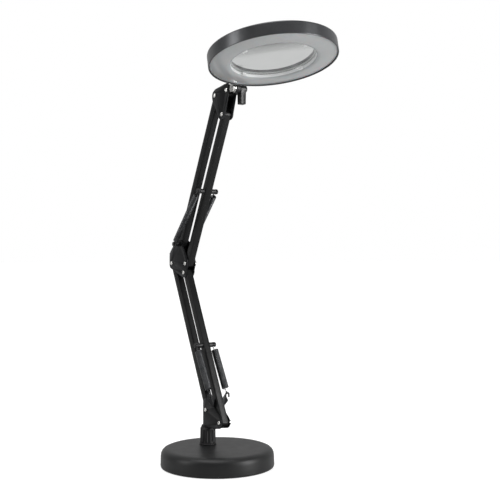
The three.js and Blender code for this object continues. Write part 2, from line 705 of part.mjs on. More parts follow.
function headHousing() {
  const round = 1.6;
  const roof = RING_HEIGHT - RING_WALL;
  const shell = turned([
    [RING_RADIUS - RING_WALL, 0],
    [RING_RADIUS - 0.4, 0],
    [RING_RADIUS, 0.4],
    ...arc(RING_RADIUS - round, RING_HEIGHT - round, round, 0, 90, 2),
    [LIP_RADIUS, RING_HEIGHT],
    [LIP_RADIUS, LIP_LOW],
    [TUBE_RADIUS, LIP_LOW],
    [TUBE_RADIUS, 2],
    [TUBE_RADIUS + TUBE_THICKNESS, 2],
    [TUBE_RADIUS + TUBE_THICKNESS, roof],
    [RING_RADIUS - RING_WALL, roof],
    [RING_RADIUS - RING_WALL, 0],
  ], SIDES);
  const wall = RING_RADIUS - 6;
  const screws = NECK_SCREW_YS.map((y) =>
    barX(y, NECK_SCREW_Z, NECK_SCREW_RADIUS + GAP, -RING_RADIUS - 2, -wall));
  return cut(shell, barOut(CABLE_ANGLE, CABLE_Z, CABLE_HOLE, wall, RING_RADIUS + 4), ...screws);
}

// A white circuit board under the housing's roof, with one LED every few degrees.
const BOARD_TOP = RING_HEIGHT - RING_WALL - GAP;
const BOARD_LOW = BOARD_TOP - 1.6;
const LED_LENGTH = 3.5;
const LED_WIDTH = 2.8;
const BOARD_INNER = TUBE_RADIUS + TUBE_THICKNESS + 2;
const BOARD_OUTER = RING_RADIUS - RING_WALL - 1.5;

function ledBoard() {
  const board = turned([
    [BOARD_INNER, BOARD_LOW],
    [BOARD_OUTER, BOARD_LOW],
    [BOARD_OUTER, BOARD_TOP],
    [BOARD_INNER, BOARD_TOP],
    [BOARD_INNER, BOARD_LOW],
  ], SIDES);
  const middle = (BOARD_INNER + BOARD_OUTER) / 2;
  const leds = Array.from({ length: LED_COUNT }, (_, i) =>
    block(
      middle - LED_LENGTH / 2, middle + LED_LENGTH / 2,
      -LED_WIDTH / 2, LED_WIDTH / 2,
      BOARD_LOW - 1, BOARD_LOW + 0.5,
    ).rotateZ((2 * Math.PI * i) / LED_COUNT));
  return join(board, ...leds);
}

// A frosted dish that closes the ring from below and turns up into a tube around the lens.
function diffuser() {
  const tubeTop = LENS_Z - LENS_SEAT;
  const thickness = 1.6;
  const outer = RING_RADIUS - RING_WALL - GAP;
  const lip = 2.6;
  const middle = (OPENING_RADIUS + outer) / 2;
  const rim = 1.4; // the dish's edge lies this far up inside the housing
  return turned([
    [OPENING_RADIUS, tubeTop],
    ...arc(OPENING_RADIUS + lip, 1.8, lip, 180, 270, 3),
    [middle, -0.3],
    [outer, rim],
    [outer, rim + thickness],
    [middle, -0.1 + thickness],
    [LENS_RADIUS, -0.4 + thickness],
    [LENS_RADIUS, tubeTop],
    [OPENING_RADIUS, tubeTop],
  ], SIDES);
}

// A biconvex lens with a straight edge.
function lens() {
  const curve = (LENS_RADIUS ** 2 + LENS_SAG ** 2) / (2 * LENS_SAG);
  const half = (Math.asin(LENS_RADIUS / curve) * 180) / Math.PI;
  const steps = 3;
  const under = arc(0, LENS_Z - LENS_SAG + curve, curve, -90, -90 + half, steps);
  const over = arc(0, LENS_Z + LENS_EDGE + LENS_SAG - curve, curve, 90 - half, 90, steps);
  under[0][0] = 0;
  over[steps][0] = 0;
  return turned([...under, ...over], SIDES);
}

// Small tabs under the lens edge.
const CLIP_COUNT = 4;
const CLIP_START = 12;

const lensClip = (angle) =>
  block(OPENING_RADIUS - 3.5, OPENING_RADIUS - GAP, -3.2, 3.2, 0.4, 3.9).rotateZ(radians(angle));

// The neck is a tongue from the tilt stud to a foot on the housing's rear wall.
const TONGUE_LOW = -1;
const TONGUE_HIGH = PLATE_INNER - GAP;
const EYE_RADIUS = 6.4;
const NECK_TOP = RING_HEIGHT - 2.5;
const NECK_FOOT = 3.4; // thickness of the foot against the wall

function headNeck() {
  const [pivotX, pivotZ] = PIVOT_IN_HEAD;
  const wall = -RING_RADIUS - GAP;
  const tongue = outline([
    [pivotX, pivotZ - EYE_RADIUS, 0.5],
    [wall - 0.5, 0.6, 1],
    [wall, NECK_TOP, 1],
    [wall - NECK_FOOT, NECK_TOP, 1],
    [pivotX - EYE_RADIUS * 0.6, pivotZ + EYE_RADIUS * 0.8, 1],
  ]);
  const body = join(
    sheetY(tongue, TONGUE_LOW, TONGUE_HIGH),
    barY(PIVOT_IN_HEAD, EYE_RADIUS, TONGUE_LOW, TONGUE_HIGH, 24),
    block(wall - NECK_FOOT, wall, TONGUE_LOW - 3, TONGUE_HIGH, 4.4, NECK_TOP),
  );
  const screwHoles = NECK_SCREW_YS.map((y) =>
    barX(y, NECK_SCREW_Z, NECK_SCREW_RADIUS + GAP, wall - 2.6, wall + 2));
  return cut(body, barY(PIVOT_IN_HEAD, STUD_HOLE, -20, 20), ...screwHoles);
}

// A screw from inside the housing into the neck's foot.
function neckScrew(y) {
  const inside = -(RING_RADIUS - RING_WALL) + 3 * GAP; // the wall curves away from the head
  return join(
    barX(y, NECK_SCREW_Z, NECK_SCREW_RADIUS, -RING_RADIUS - GAP - 2.2, inside + 0.4),
    barX(y, NECK_SCREW_Z, NECK_SCREW_RADIUS * 2, inside + 0.1, inside + 1.4),
  );
}

// A rubber bush where the supply cable would enter the rear wall.
function cableGrommet() {
  const bore = 1.6;
  const flange = CABLE_HOLE + 1.4;
  const skin = CABLE_HOLE - GAP;
  const outside = RING_RADIUS + 0.5;
  const inside = RING_RADIUS - RING_WALL - 0.5;
  const bush = lathe([
    [bore, inside - 1.2],
    [flange - 0.4, inside - 1.2],
    [flange, inside - 0.2],
    [skin, inside - 0.1],
    [skin, outside],
    [flange, outside],
    [flange - 0.8, outside + 1.8],
    [bore, outside + 2.4],
    [bore, inside - 1.2],
  ], 16);
  return bush.rotateZ(-Math.PI / 2).translate(0, 0, CABLE_Z).rotateZ(radians(CABLE_ANGLE));
}

const TILT_WASHER_RADIUS = 6;
const TILT_NUT_RADIUS = 5.7;
const WASHER_Y = [-2.3, -1.3];
const NUT_Y = [-5.5, -2.6];

add('head_housing', headHousing(), ringFinish, head);
add('led_board', ledBoard(), boardWhite, head);
add('diffuser', diffuser(), frosted, head);
add('lens', lens(), glass, head);
for (let i = 0; i < CLIP_COUNT; i += 1) {
  add(`lens_clip_${i + 1}`, lensClip(CLIP_START + (360 * i) / CLIP_COUNT), frosted, head);
}
add('head_neck', headNeck(), blackPlastic, head);
NECK_SCREW_YS.forEach((y, i) => add(`neck_screw_${i + 1}`, neckScrew(y), darkSteel, head));
add('cable_grommet', cableGrommet(), foam, head);
add('tilt_washer', cut(
  barY(PIVOT_IN_HEAD, TILT_WASHER_RADIUS, ...WASHER_Y, 24),
  barY(PIVOT_IN_HEAD, STUD_HOLE, -20, 20),
), nickel, head);
add('tilt_nut', hexNut(PIVOT_IN_HEAD, TILT_NUT_RADIUS, STUD_HOLE, ...NUT_Y), nickel, head);

// ---------- wing knob ----------
// The stud is fixed in the knob, passes the bracket's ear and the neck, and ends in the nut.
const HUB_RADIUS = 5;
const HUB_LOW = PLATE_OUTER + GAP;
const HUB_HIGH = 17;
const TAB_LOW = 7;
const TAB_HIGH = 14.2;
const TAB_REACH = 20;
const TAB_HALF = 4.2;

function wingKnob() {
  const [x, z] = HEAD_PIVOT;
  const hub = turnedY(HEAD_PIVOT, [
    [0, HUB_LOW],
    [HUB_RADIUS, HUB_LOW],
    [HUB_RADIUS, HUB_HIGH - 1.2],
    [HUB_RADIUS - 1.2, HUB_HIGH],
    [0, HUB_HIGH],
  ], 24);
  const tab = sheetY(outline([
    [x - TAB_HALF - 0.6, z, 0.5],
    [x - TAB_HALF, z - TAB_REACH, 1.2],
    [x + TAB_HALF, z - TAB_REACH, 1.2],
    [x + TAB_HALF + 0.6, z, 0.5],
  ]), TAB_LOW, TAB_HIGH);
  const socket = barY(HEAD_PIVOT, STUD_HOLE, 0, HUB_HIGH - 3);
  return cut(join(hub, tab), socket);
}

add('wing_knob', wingKnob(), blackPlastic);
add('tilt_stud', barY(HEAD_PIVOT, TILT_STUD_RADIUS, NUT_Y[0] - 0.2, HUB_HIGH - 3 - GAP), nickel);

export default lamp;
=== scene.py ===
import json
import math

import bmesh
import bpy
from mathutils import Matrix, Vector


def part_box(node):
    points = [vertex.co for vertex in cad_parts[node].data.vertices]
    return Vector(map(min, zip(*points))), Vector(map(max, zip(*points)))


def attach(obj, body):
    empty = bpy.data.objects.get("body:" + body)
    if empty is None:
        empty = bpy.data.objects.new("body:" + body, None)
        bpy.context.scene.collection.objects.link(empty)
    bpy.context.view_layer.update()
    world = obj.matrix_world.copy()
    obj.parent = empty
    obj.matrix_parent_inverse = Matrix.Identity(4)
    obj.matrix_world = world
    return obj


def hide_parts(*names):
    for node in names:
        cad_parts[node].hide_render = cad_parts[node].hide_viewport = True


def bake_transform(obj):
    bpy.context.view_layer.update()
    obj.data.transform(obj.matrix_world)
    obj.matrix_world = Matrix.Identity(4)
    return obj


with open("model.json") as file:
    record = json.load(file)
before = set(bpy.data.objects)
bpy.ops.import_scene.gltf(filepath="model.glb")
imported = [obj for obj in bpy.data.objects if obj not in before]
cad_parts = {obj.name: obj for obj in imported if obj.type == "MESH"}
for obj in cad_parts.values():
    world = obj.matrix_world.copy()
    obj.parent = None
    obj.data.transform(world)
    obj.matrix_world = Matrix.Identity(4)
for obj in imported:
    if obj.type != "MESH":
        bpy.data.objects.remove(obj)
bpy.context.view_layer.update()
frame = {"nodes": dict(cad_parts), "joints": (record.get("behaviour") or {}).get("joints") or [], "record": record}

# A desk magnifying lamp: a round base, two sprung parallelogram arms and a ring head with a lens.
# Plain sizes of its pieces are in millimetres, and MM or cornered() turns them into metres. The
# camera, the floor and the lights are in metres.

record = frame["record"]
nodes = frame["nodes"]
MM = 0.001

BODY_OF = {n: body for body, names in record["behaviour"]["bodies"].items() for n in names}
PIVOT = {joint["name"]: Vector(joint["pos_m"]) for joint in frame["joints"]}


def centre(node):
    """The middle of a CAD node's box."""
    low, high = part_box(node)
    return (low + high) / 2


# ---------- camera ----------
CAMERA_AZIMUTH = math.radians(57.54)  # from -Y towards +X
CAMERA_DISTANCE = 1.17634
CAMERA_HEIGHT = 0.27455
CAMERA_TURN = math.radians(2.09)  # to the right of the base
CAMERA_RISE = math.radians(0.5)
SENSOR_WIDTH = 36
FOCAL_LENGTH = 63.96

camera_data = bpy.data.cameras.new("camera")
camera_data.sensor_width = SENSOR_WIDTH
camera_data.lens = FOCAL_LENGTH
camera = bpy.data.objects.new("camera", camera_data)
bpy.context.scene.collection.objects.link(camera)
camera.location = (
    CAMERA_DISTANCE * math.sin(CAMERA_AZIMUTH),
    -CAMERA_DISTANCE * math.cos(CAMERA_AZIMUTH),
    CAMERA_HEIGHT,
)
camera.rotation_euler = (math.pi / 2 + CAMERA_RISE, 0, CAMERA_AZIMUTH - CAMERA_TURN)
bpy.context.scene.camera = camera


# ---------- materials ----------
class Graph:
    """A material's node tree, with the short cuts that the finishes below share."""

    def __init__(self, name):
        self.material = bpy.data.materials.new(name)
        self.material.use_nodes = True
        self.tree = self.material.node_tree
        self.shader = self.tree.nodes["Principled BSDF"]
        self.place = self.node("ShaderNodeTexCoord").outputs["Object"]

    def node(self, kind, **values):
        node = self.tree.nodes.new(kind)
        for name, value in values.items():
            setattr(node, name, value)
        return node

    def link(self, output, socket):
        self.tree.links.new(output, socket)

    def noise(self, scale, detail=3.0, stretch=None):
        noise = self.node("ShaderNodeTexNoise")
        noise.inputs["Scale"].default_value = scale
        noise.inputs["Detail"].default_value = detail
        place = self.place
        if stretch:
            mapping = self.node("ShaderNodeMapping")
            mapping.inputs["Scale"].default_value = stretch
            self.link(place, mapping.inputs["Vector"])
            place = mapping.outputs["Vector"]
        self.link(place, noise.inputs["Vector"])
        return noise.outputs["Fac"]

    def spread(self, value, low, high, start=0.3, end=0.7):
        spread = self.node("ShaderNodeMapRange")
        spread.inputs["From Min"].default_value = start
        spread.inputs["From Max"].default_value = end
        spread.inputs["To Min"].default_value = low
        spread.inputs["To Max"].default_value = high
        self.link(value, spread.inputs["Value"])
        return spread.outputs["Result"]

    def blend(self, factor, first, second):
        mix = self.node("ShaderNodeMix", data_type="RGBA")
        self.link(factor, mix.inputs["Factor"])
        for value, socket in ((first, mix.inputs["A"]), (second, mix.inputs["B"])):
            if isinstance(value, bpy.types.NodeSocket):
                self.link(value, socket)
            else:
                socket.default_value = (*value, 1)
        return mix.outputs["Result"]

    def bump(self, height, strength, depth, below=None):
        bump = self.node("ShaderNodeBump")
        bump.inputs["Strength"].default_value = strength
        bump.inputs["Distance"].default_value = depth
        self.link(height, bump.inputs["Height"])
        if below:
            self.link(below, bump.inputs["Normal"])
        return bump.outputs["Normal"]

    def edges(self, start=0.53, end=0.62):
        """How far a point lies on an outer edge, from 0 to 1."""
        return self.spread(self.node("ShaderNodeNewGeometry").outputs["Pointiness"], 0, 1, start, end)

    def finish(self, color, roughness, normal=None):
        self.link(color, self.shader.inputs["Base Color"])
        self.link(roughness, self.shader.inputs["Roughness"])
        if normal:
            self.link(normal, self.shader.inputs["Normal"])
        return self.material

    def set(self, **values):
        """Plain values on the shader's own sockets."""
        for name, value in values.items():
            self.shader.inputs[name.replace("_", " ")].default_value = value


PEEL_DEPTH = 0.12 * MM
PAINT_GRAIN_DEPTH = 0.05 * MM
MOULD_GRAIN_DEPTH = 0.06 * MM
METAL_GRAIN_DEPTH = 0.03 * MM


def coated(name, dark, light, roughness, worn, grain=1500, peel=260, relief=0.25, shine=0.14,
           uneven=0.05):
    """Paint or powder coat: orange peel, faint cloudiness and edges rubbed paler."""
    g = Graph(name)
    g.set(Specular_IOR_Level=shine)
    cloud = g.noise(38, 4)
    color = g.blend(g.spread(cloud, 0, 1), dark, light)
    rub = g.node("ShaderNodeMath", operation="MULTIPLY")
    g.link(g.edges(), rub.inputs[0])
    g.link(g.spread(g.noise(140, 5), 0.15, 1), rub.inputs[1])
    color = g.blend(rub.outputs[0], color, worn)
    rough = g.spread(g.noise(70, 5), roughness - uneven, roughness + uneven)
    normal = g.bump(g.noise(peel, 2), relief, PEEL_DEPTH)
    normal = g.bump(g.noise(grain, 2), relief * 0.6, PAINT_GRAIN_DEPTH, normal)
    return g.finish(color, rough, normal)


def moulded(name, dark, light, roughness, grain=2200, relief=0.3, marks=0.05, shine=0.35):
    """Moulded plastic or foam: a spark-eroded grain with handling marks in the gloss."""
    g = Graph(name)
    g.set(Specular_IOR_Level=shine)
    color = g.blend(g.spread(g.noise(30, 3), 0, 1), dark, light)
    rough = g.spread(g.noise(55, 6), roughness - marks, roughness + marks)
    return g.finish(color, rough, g.bump(g.noise(grain, 3), relief, MOULD_GRAIN_DEPTH))


def metal(name, dark, light, roughness):
    """Plated or bare metal with a fine grain and a slightly uneven polish."""
    g = Graph(name)
    g.set(Metallic=1.0)
    grain = g.noise(900, 4)
    color = g.blend(g.spread(g.noise(160, 4), 0, 1), dark, light)
    rough = g.spread(grain, roughness - 0.06, roughness + 0.08)
    return g.finish(color, rough, g.bump(grain, 0.12, METAL_GRAIN_DEPTH))


steel_paint = coated("steel_paint", (0.005, 0.0053, 0.006), (0.008, 0.0083, 0.009), 0.36,
                     (0.06, 0.062, 0.066))
tube_paint = coated("tube_paint", (0.006, 0.0062, 0.0065), (0.0095, 0.0098, 0.010), 0.33,
                    (0.035, 0.036, 0.038), peel=200, relief=0.18, shine=0.2)
base_paint = coated("base_paint", (0.0105, 0.0108, 0.011), (0.0125, 0.0128, 0.0132), 0.42,
                    (0.03, 0.03, 0.032), grain=2400, peel=500, relief=0.3, shine=0.32, uneven=0.02)
black_plastic = moulded("black_plastic", (0.009, 0.009, 0.0095), (0.014, 0.014, 0.015), 0.4)
knob_plastic = moulded("knob_plastic", (0.012, 0.012, 0.012), (0.02, 0.02, 0.02), 0.34, marks=0.08)
foam = moulded("foam", (0.012, 0.012, 0.012), (0.03, 0.03, 0.03), 0.92, grain=1300, relief=0.9)
rubber = moulded("rubber", (0.012, 0.012, 0.012), (0.02, 0.02, 0.02), 0.7, grain=1800, relief=0.4)
nickel = metal("nickel", (0.62, 0.62, 0.60), (0.80, 0.79, 0.77), 0.22)
dark_steel = metal("dark_steel", (0.20, 0.20, 0.21), (0.30, 0.30, 0.31), 0.36)
spring_steel = metal("spring_steel", (0.07, 0.072, 0.075), (0.12, 0.122, 0.126), 0.38)
cast_iron = moulded("cast_iron", (0.03, 0.028, 0.027), (0.06, 0.055, 0.05), 0.8, grain=700, relief=1)
board_white = moulded("board_white", (0.70, 0.71, 0.69), (0.80, 0.81, 0.79), 0.5, grain=900)


def seat_plastic_painted_glow():
    """Pale plastic round the lens, with a painted glow: a faint emission that stands in for light on the seat,
    though it is no lamp.
    """
    material = moulded("pale_plastic_painted_glow", (0.52, 0.53, 0.53), (0.58, 0.59, 0.59), 0.3)
    shader = material.node_tree.nodes["Principled BSDF"]
    shader.inputs["Emission Color"].default_value = (1, 1, 1, 1)
    # Painted glow: this emission brightens the seat, the lens tabs and the inner tubes, though none of them is a
    # lamp.
    shader.inputs["Emission Strength"].default_value = 0.11
    return material


def ring_paint():
    """Satin graphite metallic paint: fine flakes under a soft sheen."""
    g = Graph("ring_paint")
    g.set(Metallic=0.55)
    color = g.blend(g.spread(g.noise(45, 3), 0, 1), (0.060, 0.062, 0.066), (0.078, 0.080, 0.084))
    flakes = g.noise(3200, 1)
    color = g.blend(g.spread(flakes, 0, 1, 0.5, 0.75), color, (0.12, 0.122, 0.126))
    rough = g.spread(g.noise(60, 5), 0.28, 0.36)
    return g.finish(color, rough, g.bump(g.noise(420, 2), 0.12, 0.08 * MM))


def frosted_plastic():
    """Milky cover: a fine etched grain, slightly darker where dust has settled."""
    g = Graph("frosted")
    color = g.blend(g.spread(g.noise(14, 3), 0, 1), (0.385, 0.395, 0.40), (0.45, 0.46, 0.465))
    color = g.blend(g.spread(g.noise(260, 5), 0, 0.2), color, (0.35, 0.36, 0.355))
    rough = g.spread(g.noise(120, 4), 0.11, 0.17)
    g.set(Subsurface_Weight=0.15, Subsurface_Scale=2 * MM)
    return g.finish(color, rough, g.bump(g.noise(1600, 3), 0.2, 0.04 * MM))


def lens_glass():
    """Clear optical glass with a faint green body and a trace of wiping marks."""
    g = Graph("lens_glass")
    g.set(Transmission_Weight=1.0, IOR=1.5)
    color = g.blend(g.spread(g.noise(22, 2), 0, 1), (0.955, 0.975, 0.968), (0.97, 0.985, 0.98))
    rough = g.spread(g.noise(90, 5, (1, 6, 1)), 0.004, 0.02)
    return g.finish(color, rough, g.bump(g.noise(30, 1), 0.02, 0.02 * MM))


pale_plastic_painted_glow = seat_plastic_painted_glow()
ring_finish = ring_paint()
frosted = frosted_plastic()
glass = lens_glass()


# ---------- shapes ----------
def along_y(pivot):
    """Local x and y lie in the plane of the arms, local z runs along +Y."""
    return lambda x, y, z: Vector((pivot.x + x, z, pivot.z + y))


def upright(x0):
    """The body stands on the line x = x0, y = 0."""
    return lambda x, y, z: Vector((x0 + x, y, z))


CORNER_STEPS = 5


def rounded(corners):
    """A line of points with its corners, each (a, b, radius), rounded."""
    points = []
    for i, (a, b, radius) in enumerate(corners):
        corner = Vector((a, b))
        if radius == 0:
            points.append(corner)
            continue
        before = Vector(corners[i - 1][:2]) - corner
        after = Vector(corners[(i + 1) % len(corners)][:2]) - corner
        start = corner + before.normalized() * radius
        end = corner + after.normalized() * radius
        for k in range(CORNER_STEPS + 1):
            t = k / CORNER_STEPS
            points.append(start * (1 - t) ** 2 + corner * 2 * t * (1 - t) + end * t * t)
    return points


def skin(bm, first, second):
    """Quads between two rings of vertices; a ring may be a single point."""
    count = max(len(first), len(second))
    for i in range(count):
        j = (i + 1) % count
        ring = [first[i % len(first)], first[j % len(first)],
                second[j % len(second)], second[i % len(second)]]
        corners = list(dict.fromkeys(ring))
        if len(corners) > 2:
            bm.faces.new(corners)


def turned(profile, place, sides=64, closed=False, shape=None):
    """A body of revolution from (radius, height) points. shape(angle, radius, height) may
    change the radius."""
    bm = bmesh.new()
    rings = []
    for radius, height in profile:
        if radius < 1e-6:
            rings.append([bm.verts.new(place(0, 0, height))])
            continue
        ring = []
        for i in range(sides):
            angle = 2 * math.pi * i / sides
            r = shape(angle, radius, height) if shape else radius
            ring.append(bm.verts.new(place(r * math.cos(angle), r * math.sin(angle), height)))
        rings.append(ring)
    for first, second in zip(rings, rings[1:]):
        skin(bm, first, second)
    if closed:
        skin(bm, rings[-1], rings[0])
    return bm


def inset(points, distance):
    """The closed outline moved inwards, corner by corner."""
    area = sum(p.cross(points[i - 1]) for i, p in enumerate(points))
    side = 1 if area < 0 else -1
    moved = []
    for i, point in enumerate(points):
        before = (point - points[i - 1]).normalized()
        after = (points[(i + 1) % len(points)] - point).normalized()
        normal = Vector((-(before + after).y, (before + after).x)).normalized() * side
        lean = max(0.4, abs(normal.dot(Vector((-before.y, before.x)))))
        moved.append(point + normal * distance / lean)
    return moved


def slab(outline, low, high, edge, place, steps=3):
    """A flat piece with rounded-over edges."""
    bm = bmesh.new()
    layers = []
    for k in range(steps + 1):
        turn = math.pi / 2 * k / steps
        layers.append((edge * (1 - math.sin(turn)), edge * (1 - math.cos(turn))))
    levels = [(shrink, low + rise) for shrink, rise in layers]
    levels += [(shrink, high - rise) for shrink, rise in reversed(layers)]
    rings = [[bm.verts.new(place(p.x, p.y, level)) for p in inset(outline, shrink)]
             for shrink, level in levels]
    for first, second in zip(rings, rings[1:]):
        skin(bm, first, second)
    bm.faces.new(rings[0])
    bm.faces.new(list(reversed(rings[-1])))
    return bm


WIRE_SIDES = 7


def wire(points, radius):
    """A round wire along a line of points, with rounded-off ends."""
    bm = bmesh.new()
    count = len(points)
    tangents = [(points[min(i + 1, count - 1)] - points[max(i - 1, 0)]).normalized()
                for i in range(count)]
    normal = tangents[0].orthogonal().normalized()
    rings = [[bm.verts.new(points[0] - tangents[0] * radius * 0.6)]]
    for i, (point, tangent) in enumerate(zip(points, tangents)):
        normal = (normal - tangent * normal.dot(tangent)).normalized()
        across = tangent.cross(normal)
        size = radius * (0.8 if i in (0, count - 1) else 1)
        rings.append([bm.verts.new(point + (normal * math.cos(a) + across * math.sin(a)) * size)
                      for a in (2 * math.pi * k / WIRE_SIDES for k in range(WIRE_SIDES))])
    rings.append([bm.verts.new(points[-1] + tangents[-1] * radius * 0.6)])
    for first, second in zip(rings, rings[1:]):
        skin(bm, first, second)
    return bm


FLAT_ANGLE = math.radians(4)  # facets that meet flatter than this become one
SHARP_ANGLE = math.radians(35)  # edges sharper than this are rounded over


def softened(node, edge, segments=2):
    """A CAD node's shape in a new mesh, with its sharp edges rounded over."""
    bm = bmesh.new()
    bm.from_mesh(nodes[node].data)
    bmesh.ops.remove_doubles(bm, verts=bm.verts, dist=2e-6)
    bmesh.ops.dissolve_limit(bm, angle_limit=FLAT_ANGLE, verts=bm.verts, edges=bm.edges)
    sharp = [e for e in bm.edges if e.is_manifold and e.calc_face_angle(0) > SHARP_ANGLE]
    bmesh.ops.bevel(bm, geom=sharp, offset=edge, offset_type="OFFSET", segments=segments,
                    profile=0.5, affect="EDGES", clamp_overlap=True)
    return bm


def piece(name, bm, material, node, sharp=40.0):
    """Puts a mesh into the scene in place of a CAD node, on its body."""
    bmesh.ops.recalc_face_normals(bm, faces=bm.faces)
    mesh = bpy.data.meshes.new(name)
    bm.to_mesh(mesh)
    bm.free()
    mesh.materials.append(material)
    mesh.shade_smooth()
    mesh.set_sharp_from_angle(angle=math.radians(sharp))
    obj = bpy.data.objects.new(name, mesh)
    bpy.context.scene.collection.objects.link(obj)
    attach(obj, BODY_OF[node])
    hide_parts(node)
    return obj


def cornered(*corners):
    """Corners (radius, height, rounding) given in millimetres, as points in metres."""
    return [point * MM for point in rounded(corners)]


# ---------- base ----------
SWIVEL_X = PIVOT["base_swivel"].x

BASE_RADIUS = 75
BASE_TOP = 24.5
COVER_INSIDE = 22.5  # underside of the cover's top
PAD_RADIUS = 70
PAD_TOP = 1.2

piece("base_cover", turned(cornered(
    (0, COVER_INSIDE, 0), (67, COVER_INSIDE, 5), (72.6, 12, 3), (73, 0.9, 0), (74.3, 0.8, 0.5),
    (BASE_RADIUS, 2.4, 1), (BASE_RADIUS - 0.65, BASE_TOP, 9.6), (60, BASE_TOP, 2),
    (0, BASE_TOP - 0.1, 0),
), upright(0), 160), base_paint, "base_shell")
piece("base_foot", turned(cornered(
    (0, 0, 0), (PAD_RADIUS - 0.4, 0, 0.3), (PAD_RADIUS, PAD_TOP, 0.3), (0, PAD_TOP, 0),
), upright(0), 120), foam, "base_pad")

# ---------- swivel ----------
FLUTES = 12
FLUTE_FOOT = 28.5 * MM
FLUTE_TOP = 45.5 * MM
FLUTE_DEPTH = 0.9 * MM
SLEEVE_FOOT = 24.8
SLEEVE_TOP = 48
SLEEVE_BORE = 4.8
SLEEVE_RINGS = 12  # along the fluted side, so that the flutes can run out
WASHER_FOOT = 48.3
WASHER_TOP = 49.1
PIN_RADIUS = 4.5
PIN_HEAD_FOOT = 50.7
PIN_TOP = 52.7


def fluted(angle, radius, height):
    """Grooves down the collar's side that run out short of its ends."""
    if not FLUTE_FOOT < height < FLUTE_TOP or radius < 8 * MM:
        return radius
    wave = 0.5 + 0.5 * math.cos(FLUTES * angle)
    return radius - FLUTE_DEPTH * wave ** 2.5


sleeve_side = [Vector((10.7 - 0.4 * k / SLEEVE_RINGS, 27.6 + 1.5 * k)) * MM
               for k in range(SLEEVE_RINGS + 1)]
sleeve_foot = cornered((SLEEVE_BORE, SLEEVE_FOOT, 0), (11.3, SLEEVE_FOOT, 0.3), (11.4, 26.1, 0.4),
                       (10.8, 26.8, 0.4))
sleeve_top = cornered((10.2, 47.2, 0.6), (9.2, SLEEVE_TOP, 0.6), (SLEEVE_BORE, SLEEVE_TOP, 0))
piece("collar_sleeve", turned(
    sleeve_foot + sleeve_side + sleeve_top, upright(SWIVEL_X), 192, closed=True, shape=fluted,
), black_plastic, "collar")
piece("turning_washer", turned(cornered(
    (SLEEVE_BORE, WASHER_FOOT, 0.1), (8.6, WASHER_FOOT, 0.25), (8.6, WASHER_TOP, 0.25),
    (SLEEVE_BORE, WASHER_TOP, 0.1),
), upright(SWIVEL_X), 64, closed=True), black_plastic, "swivel_washer")
pin_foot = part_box("swivel_pin")[0].z / MM
piece("turning_pin", turned(cornered(
    (0, pin_foot, 0), (4.0, pin_foot, 0.4), (PIN_RADIUS, pin_foot + 1, 0.4),
    (PIN_RADIUS, PIN_HEAD_FOOT, 0), (5.4, PIN_HEAD_FOOT, 0.2), (5.3, PIN_TOP - 0.5, 0.8),
    (3.4, PIN_TOP, 0.6), (0, PIN_TOP, 0),
), upright(SWIVEL_X), 64), dark_steel, "swivel_pin")

# ---------- brackets ----------
# Each keeps its CAD shape, with the sheet's edges broken.
piece("lower_bracket_steel", softened("lower_bracket", 0.28 * MM), steel_paint, "lower_bracket")
piece("elbow_steel", softened("elbow_bracket", 0.3 * MM), steel_paint, "elbow_bracket")
piece("head_bracket_steel", softened("head_bracket", 0.3 * MM), steel_paint, "head_bracket")


# ---------- tubes ----------
TUBE_HALF = 5 * MM
TUBE_EDGE = 1.25 * MM
TUBE_END_STEPS = 24


def arm_tube(name, foot, top):
    """A square tube from pivot to pivot, with its ends rounded about the pivots."""
    length = (top - foot).length
    lean = math.atan2(top.x - foot.x, top.z - foot.z)
    ends = []
    for middle, start in ((length, 0.0), (0.0, math.pi)):
        for k in range(TUBE_END_STEPS + 1):
            angle = start + math.pi * k / TUBE_END_STEPS
            ends.append(Vector((TUBE_HALF * math.cos(angle), middle + TUBE_HALF * math.sin(angle))))

    def place(x, y, z):
        return Vector((
            foot.x + x * math.cos(lean) + y * math.sin(lean),
            z,
            foot.z - x * math.sin(lean) + y * math.cos(lean),
        ))

    solid = slab(ends, -TUBE_HALF, TUBE_HALF, TUBE_EDGE, place, 5)
    piece(name + "_tube", solid, tube_paint, name)


arm_tube("lower_rear_bar", centre("lower_rear_foot_screw"), centre("lower_rear_top_screw"))
arm_tube("lower_front_bar", centre("lower_front_foot_screw"), centre("lower_front_top_screw"))
arm_tube("upper_rear_bar", centre("elbow_cross_pin"), centre("upper_rear_top_screw"))
arm_tube("upper_front_bar", centre("upper_front_foot_screw"), centre("upper_front_top_screw"))

# ---------- cross pins ----------
LOWER_SPRING_Y = 13
UPPER_SPRING_Y = 13.9
ROD_RADIUS = 3.3
ROD_HALF = 16.5
NECK_RADIUS = 2.6


def cross_pin(name, spring_y):
    """A rod with a groove near each end, where a spring's eye sits."""
    side = [(0, ROD_HALF, 0), (NECK_RADIUS, ROD_HALF, 1.2), (ROD_RADIUS, ROD_HALF - 1, 0.4),
            (ROD_RADIUS, spring_y + 1.1, 0.3), (NECK_RADIUS, spring_y + 0.6, 0.3),
            (NECK_RADIUS, spring_y - 1, 0.3), (ROD_RADIUS, spring_y - 1.6, 0.3)]
    far = [(r, -h, c) for r, h, c in reversed(side)]
    points = cornered(*side, (ROD_RADIUS, 0, 0), *far)
    piece(name + "_rod", turned(points, along_y(centre(name)), 40), black_plastic, name)


cross_pin("lower_crossbar", LOWER_SPRING_Y)
cross_pin("upper_crossbar", UPPER_SPRING_Y)
cross_pin("elbow_cross_pin", UPPER_SPRING_Y)


# ---------- screws and nuts ----------
THREAD_PITCH = 0.7
THREAD_DEPTH = 0.22
SCREW_RADIUS = 2.2
HEAD_RADIUS = 2.8
HEAD_THICKNESS = 1.3
THREAD_LENGTH = 3.2
NUT_RADIUS = 4
TILT_NUT_RADIUS = 5.7
STUD_RADIUS = 2.9


